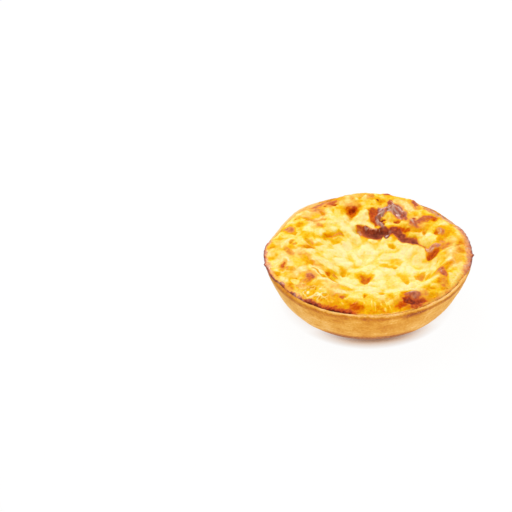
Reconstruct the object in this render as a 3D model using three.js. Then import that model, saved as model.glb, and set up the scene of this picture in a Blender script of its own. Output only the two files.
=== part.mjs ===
// A round rice tart: a shortcrust case, and a rice custard that rose, sank and browned in it.
// Millimetres, +Z up. The origin is the middle of the flat base, +X is right and +Y the far side.
import * as THREE from "three";

const { clamp, degToRad, lerp, smoothstep } = THREE.MathUtils;

// Shortcrust case: a flat base that curves up into a bowed, tapered wall with a thin rim
const RIM_RADIUS = 55;
const CASE_HEIGHT = 26.6;
const FLAT_RADIUS = 36.5;
const CORNER_RADIUS = 43.8;
const BELLY_RADIUS = 50.8;
const BELLY_HEIGHT = 12;
const WALL_THICKNESS = 3.2;
const RIM_THICKNESS = 2;
const FLOOR_THICKNESS = 2.8;
const RIM_ROUNDING = 1.1;
const RIM_WAVE = 0.25;
const OUT_OF_ROUND = 0.004;
const WALL_STEPS = 8;
const RIM_STEPS = 4;
const SEGMENTS = 100;

// Where the rim was pushed in and down
const DENT_HEADING = degToRad(153);
const DENT_HALF_WIDTH = degToRad(27);
const DENT_SHARE = 0.035;
const DENT_DROP = 0.9;

// Clearance between the case and the filling
const FIT_GAP = 0.3;

// Filling: a raised ring round a sunken middle, steepest inside the near right
const DIP_LEVEL = 19.8;
const RING_LEVEL = 28.8;
const RING_WAVE = 0.35;
const RING_RADIUS = 40.5;
const RING_SHIFT = 6.5;
const RING_SHIFT_HEADING = degToRad(40);
const STEEP_HEADING = degToRad(-70);
const GENTLE_FOOT = 0.1;
const STEEP_FOOT = 0.72;
const SKIN_RINGS = 36;
const SKIN_EDGE = 0.6;
const BARE_EDGE_SHARE = 0.45;
const EDGE_FADE = 4;

// Runs of skin over the rim: heading of the middle, half width and share of the rim covered
const SPILLS = [
  { heading: degToRad(187), halfWidth: degToRad(38), share: 1 },
  { heading: degToRad(5), halfWidth: degToRad(42), share: 1 },
  { heading: degToRad(82), halfWidth: degToRad(42), share: 0.9 },
];
const SPILL_TAPER = 0.75;
const SPILL_OVERHANG = 0.3;

// Flaps of skin: a lip along a line, and a hollow that drops away on the right of it
const FLAPS = [
  {
    name: "far flap",
    line: [[-10, 25.8], [-6.9, 27.2], [-4.5, 28], [-0.7, 27.7], [3.7, 25.4], [9.7, 26.8], [12.9, 23.6]],
    lip: 0.6,
    lipWidth: 1.9,
    drop: 2.8,
    run: 8,
  },
  {
    name: "torn edge of the near flap",
    line: [[32.4, -0.5], [29.8, 8], [27, 10.6], [18.6, 14.4], [16.8, 17], [15.2, 20.2], [13.8, 24]],
    lip: 0.5,
    lipWidth: 1.6,
    drop: 1.6,
    run: 7,
  },
];

// Folds of the skin: a ridge along a line, or with a negative height a crease
const FOLDS = [
  { name: "curl", line: [[8.4, 27.2], [5.5, 32.6], [6.4, 34.6], [11.5, 38.4]], height: 1.6, width: 1.1 },
  { name: "far pleat", line: [[7.6, 38.6], [13.4, 40.6], [16.2, 42.6]], height: 0.9, width: 0.8 },
  { name: "right pleat", line: [[13.4, 41], [16, 39.2], [20.2, 32.6]], height: 0.8, width: 0.9 },
  { name: "right fold", line: [[23.4, 30.4], [24.8, 27.6], [26, 24.8]], height: 0.9, width: 1.2 },
  { name: "left crease", line: [[-25.5, 15.5], [-21, 18.4], [-15, 23]], height: -0.7, width: 1 },
  { name: "left lip", line: [[-24, 13.5], [-19, 17.4], [-13, 21]], height: 0.7, width: 1 },
  { name: "far crease", line: [[-10, 29.5], [-7, 34], [-3, 43]], height: -0.8, width: 1.2 },
  { name: "near crease", line: [[-29, -13], [-25.5, -18.5], [-23, -24]], height: -0.7, width: 0.8 },
];
const FOLD_SAMPLES = 32;
const FOLD_TAPER = 0.16;

// Blisters of the skin, and with a negative height its hollows, which are deepest under the near lip
const BLISTERS = [
  { x: -8, y: 38, halfLength: 4.5, halfWidth: 4, lie: 68, height: -2.4 },
  { x: -31, y: 30.8, halfLength: 3.2, halfWidth: 1.5, lie: 162, height: -0.8 },
  { x: -41.8, y: 21, halfLength: 3.6, halfWidth: 2.5, lie: 120, height: 0.7 },
  { x: -30.2, y: 8.6, halfLength: 3.2, halfWidth: 1.7, lie: 125, height: -1 },
  { x: -31.4, y: 4.2, halfLength: 2.8, halfWidth: 1.7, lie: 15, height: -0.9 },
  { x: -32, y: -5, halfLength: 3.4, halfWidth: 2.2, lie: 110, height: -1 },
  { x: -30.8, y: -22.2, halfLength: 3.7, halfWidth: 3, lie: 60, height: 0.8 },
  { x: -21, y: -15.6, halfLength: 4.2, halfWidth: 1.3, lie: 80, height: -1.3 },
  { x: -13.2, y: -8, halfLength: 3, halfWidth: 1.8, lie: 90, height: -1.4 },
  { x: -1.7, y: -12, halfLength: 5.2, halfWidth: 3.8, lie: 88, height: -2.4 },
  { x: 22.6, y: -37.8, halfLength: 5.4, halfWidth: 2.6, lie: 8, height: 1.7 },
  { x: 21.8, y: -43, halfLength: 4.6, halfWidth: 2.1, lie: 8, height: -1.2 },
  { x: 27.6, y: -41.8, halfLength: 2.7, halfWidth: 1.5, lie: 38, height: -1 },
  { x: 37.6, y: -14.8, halfLength: 3.4, halfWidth: 2.3, lie: 62, height: 0.9 },
  { x: 11.4, y: -1, halfLength: 3.8, halfWidth: 1.6, lie: 168, height: -1 },
  { x: 19.6, y: -12.6, halfLength: 4.8, halfWidth: 1.9, lie: 117, height: -1.4 },
  { x: 28, y: -10.6, halfLength: 2.4, halfWidth: 2.2, lie: 90, height: -1 },
  { x: 13.6, y: 13.4, halfLength: 1.9, halfWidth: 1.4, lie: 120, height: -0.9 },
  { x: 34.4, y: 6.8, halfLength: 4.4, halfWidth: 2.6, lie: 8, height: 1.4 },
  { x: 34.2, y: 2.2, halfLength: 4, halfWidth: 2.6, lie: 8, height: -2 },
  { x: 39, y: 17.4, halfLength: 3.2, halfWidth: 2.2, lie: 105, height: 0.9 },
  { x: 27.6, y: 21.8, halfLength: 4.6, halfWidth: 2.2, lie: 15, height: -0.7 },
  { x: 7.8, y: 31.2, halfLength: 1.4, halfWidth: 1.6, lie: 90, height: -1.4 },
  { x: 10.8, y: 22.4, halfLength: 3.2, halfWidth: 2.4, lie: 55, height: -1.3 },
];
const HOLLOW_LEAN = 0.55;
const HOLLOW_PINCH = 0.35;

// Pillows of pale skin that stand out between the browned folds
const PILLOWS = [
  { x: -1.4, y: 33.4, halfLength: 5, halfWidth: 2.9, lie: 62, height: 1.2 },
  { x: 12.4, y: 32.8, halfLength: 3.8, halfWidth: 1.7, lie: 92, height: 1.2 },
  { x: 20, y: 27.4, halfLength: 2.7, halfWidth: 1.8, lie: 10, height: 1 },
  { x: 25.3, y: 18.6, halfLength: 3.2, halfWidth: 1.9, lie: 5, height: 1 },
  { x: 31.5, y: 12.2, halfLength: 4.6, halfWidth: 3.6, lie: 150, height: 1.3 },
];

// Swellings of the skin over clumps of rice and over single grains, on jittered grids
const CLUMPS = { spacing: 9.5, length: 15, width: 10.5, height: 0.9, salt: 10 };
const GRAINS = { spacing: 5.2, length: 7, width: 3.6, height: 0.4, salt: 20 };
const CLUMP_MEAN = 0.6;
const CLUMPS_ON_RING = 0.6;

const CASE_COLOUR = 0xe2a046;
const FILLING_COLOUR = 0xf7d36b;

// How far two headings are apart, both ways round
function apart(heading, other) {
  const turned = heading - other;
  return Math.abs(Math.atan2(Math.sin(turned), Math.cos(turned)));
}

// Half-section of the pan from the middle of its floor up the wall, set in from the outer face
function panSection(inset, rimInset, floor, top) {
  const section = new THREE.Path();
  section.moveTo(0, floor);
  section.lineTo(FLAT_RADIUS, floor);
  section.bezierCurveTo(
    CORNER_RADIUS - inset,
    floor,
    BELLY_RADIUS - inset,
    BELLY_HEIGHT,
    RIM_RADIUS - rimInset,
    top,
  );
  return section.getPoints(WALL_STEPS);
}

// Share of the dent in the rim that a heading has
function dent(heading) {
  const share = Math.min(apart(heading, DENT_HEADING) / DENT_HALF_WIDTH, 1);
  return Math.cos((Math.PI / 2) * share) ** 2;
}

// Height of the hand-pressed rim over its mean, which is not quite level
function rimWave(heading) {
  const wave = Math.sin(3 * heading + 0.6) + 0.6 * Math.sin(7 * heading + 2);
  return RIM_WAVE * wave - DENT_DROP * dent(heading);
}

// Radius of the hand-pressed rim as a share of its mean, which is not quite round
function rimStretch(heading) {
  return 1 + OUT_OF_ROUND * Math.sin(3 * heading + 1) - DENT_SHARE * dent(heading);
}

// Moves a turned point with the unevenness of the rim, which dies away towards the base
function pressDough(point, heading) {
  const floor = FLOOR_THICKNESS + FIT_GAP;
  const rise = (Math.max(point.z - floor, 0) / (CASE_HEIGHT - floor)) ** 2;
  const stretch = lerp(1, rimStretch(heading), rise);
  point.x *= stretch;
  point.y *= stretch;
  point.z += rise * rimWave(heading);
}

// Turns a half-section about +Z, then lets shape(point, heading, row) move every point of it
function turn(section, shape) {
  const geometry = new THREE.LatheGeometry(section, SEGMENTS);
  geometry.rotateX(Math.PI / 2);
  const positions = geometry.getAttribute("position");
  const point = new THREE.Vector3();
  for (let index = 0; index < positions.count; index += 1) {
    const column = Math.floor(index / section.length) % SEGMENTS;
    const heading = (column / SEGMENTS) * 2 * Math.PI - Math.PI / 2;
    point.fromBufferAttribute(positions, index);
    shape(point, heading, index % section.length);
    positions.setXYZ(index, point.x, point.y, point.z);
  }
  geometry.computeVertexNormals();
  return geometry;
}

function pastryCase() {
  const wallTop = CASE_HEIGHT - RIM_ROUNDING;
  const rim = new THREE.EllipseCurve(
    RIM_RADIUS - RIM_THICKNESS / 2,
    wallTop,
    RIM_THICKNESS / 2,
    RIM_ROUNDING,
    0,
    Math.PI,
  );
  const outside = panSection(0, 0, 0, wallTop);
  const inside = panSection(WALL_THICKNESS, RIM_THICKNESS, FLOOR_THICKNESS, wallTop).reverse();
  const overRim = rim.getPoints(RIM_STEPS).slice(1, -1);
  return turn([...outside, ...overRim, ...inside], pressDough);
}

// Share of the rim that the skin covers on a heading, from 0 to 1
function spill(heading) {
  let share = 0;
  for (const run of SPILLS) {
    const inside = run.halfWidth - apart(heading, run.heading);
    share = Math.max(share, run.share * smoothstep(inside, 0, SPILL_TAPER * run.halfWidth));
  }
  return share;
}

// Where the skin ends on a heading: its radius, and its underside and top, clear of the rim beneath it
function skinEdge(heading) {
  const covered = spill(heading);
  const lift = smoothstep(covered, 0, 0.3);
  const reach = smoothstep(covered, 0.3, 1);
  const inner = RIM_RADIUS - RIM_THICKNESS - FIT_GAP;
  const level = CASE_HEIGHT + rimWave(heading) + lerp(-2 * FIT_GAP, FIT_GAP, lift);
  return {
    radius: lerp(inner, RIM_RADIUS + SPILL_OVERHANG, reach) * rimStretch(heading),
    inner: inner * rimStretch(heading),
    level,
    top: level + SKIN_EDGE * lerp(BARE_EDGE_SHARE, 1, lift),
  };
}

// A value between 0 and 1 that looks random but is the same for a cell each time
function draw(column, row, salt) {
  const value = Math.sin(column * 127.1 + row * 311.7 + salt * 74.7) * 43758.5453;
  return value - Math.floor(value);
}

// Share of a swelling's height at a point, from the swellings whose cells lie round it
function swelling({ spacing, length, width, salt }, x, y) {
  const column = Math.floor(x / spacing);
  const row = Math.floor(y / spacing);
  let share = 0;
  for (let i = column - 1; i <= column + 1; i += 1) {
    for (let j = row - 1; j <= row + 1; j += 1) {
      const dx = x - (i + draw(i, j, salt + 1)) * spacing;
      const dy = y - (j + draw(i, j, salt + 2)) * spacing;
      const lie = draw(i, j, salt + 3) * Math.PI;
      const along = (dx * Math.cos(lie) + dy * Math.sin(lie)) / (length / 2);
      const across = (dy * Math.cos(lie) - dx * Math.sin(lie)) / (width / 2);
      const size = lerp(0.55, 1, draw(i, j, salt + 4));
      share = Math.max(share, size * Math.max(1 - along * along - across * across, 0));
    }
  }
  return share;
}

// Points along a flap or a fold
function linePoints({ line }) {
  const curve = new THREE.SplineCurve(line.map(([x, y]) => new THREE.Vector2(x, y)));
  return curve.getPoints(FOLD_SAMPLES);
}

const flapPoints = FLAPS.map(linePoints);
const foldPoints = FOLDS.map(linePoints);

// Signed distance from a line, positive on its right, and how far its ends have faded it there
function beside(points, x, y) {
  let nearest = Infinity;
  let signed = 0;
  let share = 0;
  for (let step = 0; step < FOLD_SAMPLES; step += 1) {
    const run = points[step + 1].clone().sub(points[step]);
    const away = new THREE.Vector2(x, y).sub(points[step]);
    const part = clamp(away.dot(run) / run.lengthSq(), 0, 1);
    const distance = away.clone().addScaledVector(run, -part).length();
    if (distance < nearest) {
      nearest = distance;
      signed = -distance * Math.sign(run.cross(away));
      share = (step + part) / FOLD_SAMPLES;
    }
  }
  const taper = smoothstep(share, 0, FOLD_TAPER) * smoothstep(1 - share, 0, FOLD_TAPER);
  return { signed, taper };
}

// Distance from the middle of an oval at a point, 1 on its edge
function inOval({ x: cx, y: cy, halfLength, halfWidth, lie, height }, x, y) {
  const hollow = height < 0;
  const beyond = clamp((y - cy) / Math.max(halfLength, halfWidth), -1, 1);
  const dx = hollow ? (x - cx) / (1 + HOLLOW_PINCH * beyond) : x - cx;
  const dy = y - cy;
  const [cos, sin] = [Math.cos(degToRad(lie)), Math.sin(degToRad(lie))];
  const along = (dx * cos + dy * sin) / halfLength;
  const across = (dy * cos - dx * sin) / halfWidth;
  if (!hollow) {
    return Math.hypot(along, across);
  }
  const lean = new THREE.Vector2(-HOLLOW_LEAN * sin, -HOLLOW_LEAN * cos);
  const away = new THREE.Vector2(along, across).sub(lean);
  const room = 1 - HOLLOW_LEAN * HOLLOW_LEAN;
  const towards = away.dot(lean);
  return (towards + Math.sqrt(towards * towards + room * away.lengthSq())) / room;
}

// Height of every swelling, flap, fold, blister and pillow over the plain skin at a point
function skinRelief(x, y, onRing) {
  let relief = 0;
  let calm = 0;
  FLAPS.forEach((flap, index) => {
    const { signed, taper } = beside(flapPoints[index], x, y);
    const hollow = smoothstep(signed, -0.4, 1.2) * (1 - smoothstep(signed, 1.2, flap.run));
    relief += taper * (flap.lip * Math.exp(-((signed / flap.lipWidth) ** 2)) - flap.drop * hollow);
    const clear = smoothstep(signed, -3, -1) * (1 - smoothstep(signed, flap.run, 1.6 * flap.run));
    calm = Math.max(calm, taper * clear);
  });
  FOLDS.forEach((fold, index) => {
    const { signed, taper } = beside(foldPoints[index], x, y);
    relief += taper * fold.height * Math.exp(-((signed / fold.width) ** 2));
  });
  for (const blister of BLISTERS) {
    const away = inOval(blister, x, y);
    relief += blister.height * (1 - Math.min(away / 1.2, 1) ** 2) ** 2;
    if (blister.height < -1) {
      calm = Math.max(calm, 1 - smoothstep(away, 1.2, 1.9));
    }
  }
  for (const pillow of PILLOWS) {
    relief += pillow.height * (1 - smoothstep(inOval(pillow, x, y), 0.2, 1.2));
  }
  const clumps = CLUMPS.height * (swelling(CLUMPS, x, y) - CLUMP_MEAN) * lerp(1, CLUMPS_ON_RING, onRing);
  const grains = GRAINS.height * swelling(GRAINS, x, y);
  return relief + (1 - calm) * clumps + (1 - calm / 2) * grains;
}

// Height of the skin at a radius on a heading, between the sunken middle and the skin's edge
function skinHeight(radius, heading, edge) {
  const crestRadius = RING_RADIUS + RING_SHIFT * Math.cos(heading - RING_SHIFT_HEADING);
  const crestLevel = RING_LEVEL + RING_WAVE * (Math.sin(2 * heading + 0.4) + Math.sin(5 * heading));
  const steep = smoothstep(Math.cos(heading - STEEP_HEADING), -0.3, 0.75);
  const foot = lerp(GENTLE_FOOT, STEEP_FOOT, steep);
  const bowl = lerp(DIP_LEVEL, crestLevel, smoothstep(radius / crestRadius, foot, 1));
  const outward = clamp((radius - crestRadius) / (edge.radius - crestRadius), 0, 1);
  const shoulder = Math.sqrt(1 - outward * outward);
  const onRing = smoothstep(radius / crestRadius, 0.6, 0.95);
  const relief = skinRelief(radius * Math.cos(heading), radius * Math.sin(heading), onRing);
  const fade = smoothstep(edge.radius - radius, 0, EDGE_FADE);
  return lerp(edge.top, bowl, shoulder) + fade * relief;
}

function riceFilling() {
  const side = panSection(
    WALL_THICKNESS + FIT_GAP,
    RIM_THICKNESS + FIT_GAP,
    FLOOR_THICKNESS + FIT_GAP,
    CASE_HEIGHT - RIM_ROUNDING,
  );
  const sideEnd = side.length;
  const skinStart = sideEnd + 2;
  const edgeRows = Array.from({ length: 2 + SKIN_RINGS }, () => side[sideEnd - 1].clone());
  const centre = new THREE.Vector2(0, DIP_LEVEL);
  return turn([...side, ...edgeRows, centre], (point, heading, row) => {
    if (row < sideEnd) {
      pressDough(point, heading);
      return;
    }
    const edge = skinEdge(heading);
    const share = 1 - (row - skinStart) / SKIN_RINGS;
    const radius = row === sideEnd ? edge.inner : edge.radius * Math.min(share, 1);
    point.set(radius * Math.cos(heading), radius * Math.sin(heading), edge.level);
    if (row >= skinStart) {
      point.z = skinHeight(radius, heading, edge);
    }
  });
}

function subPart(name, geometry, colour, roughness) {
  const material = new THREE.MeshStandardMaterial({ color: colour, roughness, metalness: 0 });
  const mesh = new THREE.Mesh(geometry, material);
  mesh.name = name;
  return mesh;
}

const riceTart = new THREE.Group();
riceTart.name = "rice_tart";
riceTart.add(subPart("pastry_case", pastryCase(), CASE_COLOUR, 0.85));
riceTart.add(subPart("rice_filling", riceFilling(), FILLING_COLOUR, 0.45));

export default riceTart;
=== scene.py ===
import math
from functools import partial

import bpy
import numpy as np
from mathutils import Matrix, Vector


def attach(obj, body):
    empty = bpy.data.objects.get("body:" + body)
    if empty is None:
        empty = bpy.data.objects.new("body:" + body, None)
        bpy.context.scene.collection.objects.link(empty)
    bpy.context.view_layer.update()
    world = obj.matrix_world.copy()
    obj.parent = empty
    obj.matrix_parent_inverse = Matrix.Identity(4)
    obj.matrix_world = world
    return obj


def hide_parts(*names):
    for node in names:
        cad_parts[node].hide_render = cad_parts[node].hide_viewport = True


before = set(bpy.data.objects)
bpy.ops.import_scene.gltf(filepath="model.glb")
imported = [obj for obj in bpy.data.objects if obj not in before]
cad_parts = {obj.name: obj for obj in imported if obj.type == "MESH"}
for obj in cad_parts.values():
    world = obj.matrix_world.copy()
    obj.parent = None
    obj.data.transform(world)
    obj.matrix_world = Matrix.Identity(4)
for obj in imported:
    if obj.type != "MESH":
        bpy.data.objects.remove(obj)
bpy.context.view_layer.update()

# Sizes are in millimetres and become metres where a mesh, light or camera takes them
MM = 0.001

# Shortcrust case, with the section that the solid has
RIM_RADIUS = 55
CASE_HEIGHT = 26.6
FLAT_RADIUS = 36.5
CORNER_RADIUS = 43.8
BELLY_RADIUS = 50.8
BELLY_HEIGHT = 12
WALL_THICKNESS = 3.2
RIM_THICKNESS = 2
FLOOR_THICKNESS = 2.8
RIM_ROUNDING = 1.1
RIM_WAVE = 0.25
OUT_OF_ROUND = 0.004
WALL_TOP = CASE_HEIGHT - RIM_ROUNDING
FLAT_FLOOR_MARGIN = 0.3
FOOT_ROUNDING = 3
CRUMB_DEPTH = 1.5
CASE_SPOKES = 520
WALL_RINGS = 30
RIM_RINGS = 12
INSIDE_RINGS = 10

# Lumps of the dough, crumb of the rim and ragged toasting: height, size of the lumps, salt
DOUGH = [(0.22, 7, 31), (0.12, 2.6, 32), (0.07, 1.2, 33)]
RIM_CRUMB = [(0.22, 3.2, 34), (0.12, 1.4, 35)]
RAGGED = [(0.5, 2.4, 36), (0.3, 1.2, 37)]

# Toasting of the crust, from 0 for pale to 1 for dark brown, with headings in degrees
WALL_TOAST = 0.24
FRONT_TOAST = 0.12
# Painted shadow: darkening of the wall's front towards its foot, and the height that it reaches
FOOT_SHADE = 0.75
FOOT_SHADE_HEIGHT = 9
BAND_TOAST = 0.36
FRONT_BAND_TOAST = 0.25
RIGHT_BAND_TOAST = 0.16
RIGHT_BAND_HEADING = 307
BAND_DEPTH = 4
BAND_FULL = 2.6
LIP_PALING = 0.1
NEAR_LIP_PALING = 0.52
NEAR_LIP_HEADING = 290
FAR_RIM_PALING = 0.6
FAR_RIM_HEADING = 140

# Where the rim was pushed in and down: heading and half width in degrees, share of the radius, drop
DENT_HEADING = 153
DENT_HALF_WIDTH = 27
DENT_SHARE = 0.035
DENT_DROP = 0.9

# Filling: a raised ring round a sunken middle, steepest inside the near right
FILLING_GAP = 0.08
FILLING_RADIUS = RIM_RADIUS - RIM_THICKNESS - FILLING_GAP
RIM_LAP = 0.2
DIP_LEVEL = 19.8
RING_LEVEL = 28.8
RING_WAVE = 0.35
RING_RADIUS = 40.5
RING_SHIFT = 6.5
RING_SHIFT_HEADING = math.radians(40)
STEEP_HEADING = math.radians(-70)
GENTLE_FOOT = 0.1
STEEP_FOOT = 0.72
SKIN_CELLS = 280
SIDE_RINGS = 6
LEVELLING_PASSES = 60
# Painted shade: extra browning in the dips and on the slopes of the skin, where shade falls
DIP_PAINTED_SHADE = 0.17

# Edge of the skin, thick and round where it runs over the rim, thin and sloping where the rim is bare
SKIN_EDGE = 0.6
BARE_EDGE = 0.18
SPILT_ROUNDING = 0.5
BARE_ROUNDING = 0.75
EDGE_FADE = 4

# Runs of skin over the rim: heading of the middle, half width in degrees, share of the rim covered
SPILLS = [
    (187, 38, 1),
    (5, 42, 1),
    (82, 42, 0.9),
]
SPILL_START = 0.3
SPILL_TAPER = 0.75
SPILL_OVERHANG = 0.3

# Scorched tags of skin at the rim: heading and half width in degrees, reach outwards, rise
TAGS = [
    (190.5, 3.2, 0.8, 0.3),
    (-2, 1.6, 0.9, 0.3),
    (78, 5, 0.2, 0.9),
    (90, 14, 0.1, 0.3),
    (62, 6, 0.2, 0.8),
    (49, 7, 0.5, 0.4),
    (40, 2.2, 0.5, 0.5),
    (34, 5, 0.4, 0.4),
]
TAG_DEPTH = 3

# Flaps of skin over scorched hollows: line of the lip; its height and width, drop on the right of the
# line, run of the hollow, how far the lip curls over; browning at both ends of the hollow, width that is
# scorched, share of the line where the flap's own edge stayed pale
FLAPS = [
    (
        [(-15, 23.4), (-10, 25.8), (-6.9, 27.2), (-4.5, 28), (-0.7, 27.7), (2.1, 26.2), (3.7, 25.4),
         (6.4, 25.8), (9.7, 26.8), (11.6, 25.4), (12.9, 23.6)],
        (0.6, 1.9, 2.8, 8, 0.6),
        (0.57, 0.77, 5, 0.62),
    ),
    (
        [(34, -5), (32.2, 0), (30.6, 5), (29.8, 8), (27, 10.6), (22.4, 12.6), (18.6, 14.4), (16.8, 17),
         (15.2, 20.2), (13.8, 24)],
        (0.5, 1.6, 1.6, 7, 0.8),
        (0.5, 0.74, 3.6, 0.8),
    ),
]
FLAP_START = 0.1
LIP_STEP = 1.2
CURL_WIDTH = 1.1

# Wrinkles: height or with a minus depth, width, and the line
FOLDS = [
    # curled wrinkle, and the pleats of the leathery fold beyond it
    (1.6, 1.1, [(8.4, 27.2), (7.2, 28.6), (6, 30.4), (5.5, 32.6), (6.4, 34.6), (8.8, 36.6), (11.5, 38.4)]),
    (-0.8, 0.7, [(7.4, 29), (7.4, 31), (8.2, 33)]),
    (0.9, 0.8, [(7.6, 38.6), (10.4, 39.4), (13.4, 40.6), (16.2, 42.6)]),
    (0.8, 0.9, [(13.4, 41), (16, 39.2), (18, 36.4), (20.2, 32.6)]),
    (0.7, 0.8, [(12.6, 46.4), (13.4, 44), (14.4, 41.4)]),
    (-0.6, 0.6, [(15.4, 43.4), (17.4, 40.4), (19.4, 36.4)]),
    (0.5, 0.5, [(0, 27), (1.8, 25.8), (4, 25)]),
    (0.9, 1.2, [(23.4, 30.4), (24.8, 27.6), (26, 24.8)]),
    # creases
    (-0.7, 1, [(-25.5, 15.5), (-21, 18.4), (-15, 23)]),
    (0.7, 1, [(-24, 13.5), (-19, 17.4), (-13, 21)]),
    (-0.8, 1.2, [(-10, 29.5), (-7, 34), (-4, 39), (-3, 43)]),
    (-0.7, 0.8, [(-29, -13), (-25.5, -18.5), (-23, -24)]),
]
FOLD_SAMPLES = 40
FOLD_TAPER = 0.16

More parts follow.
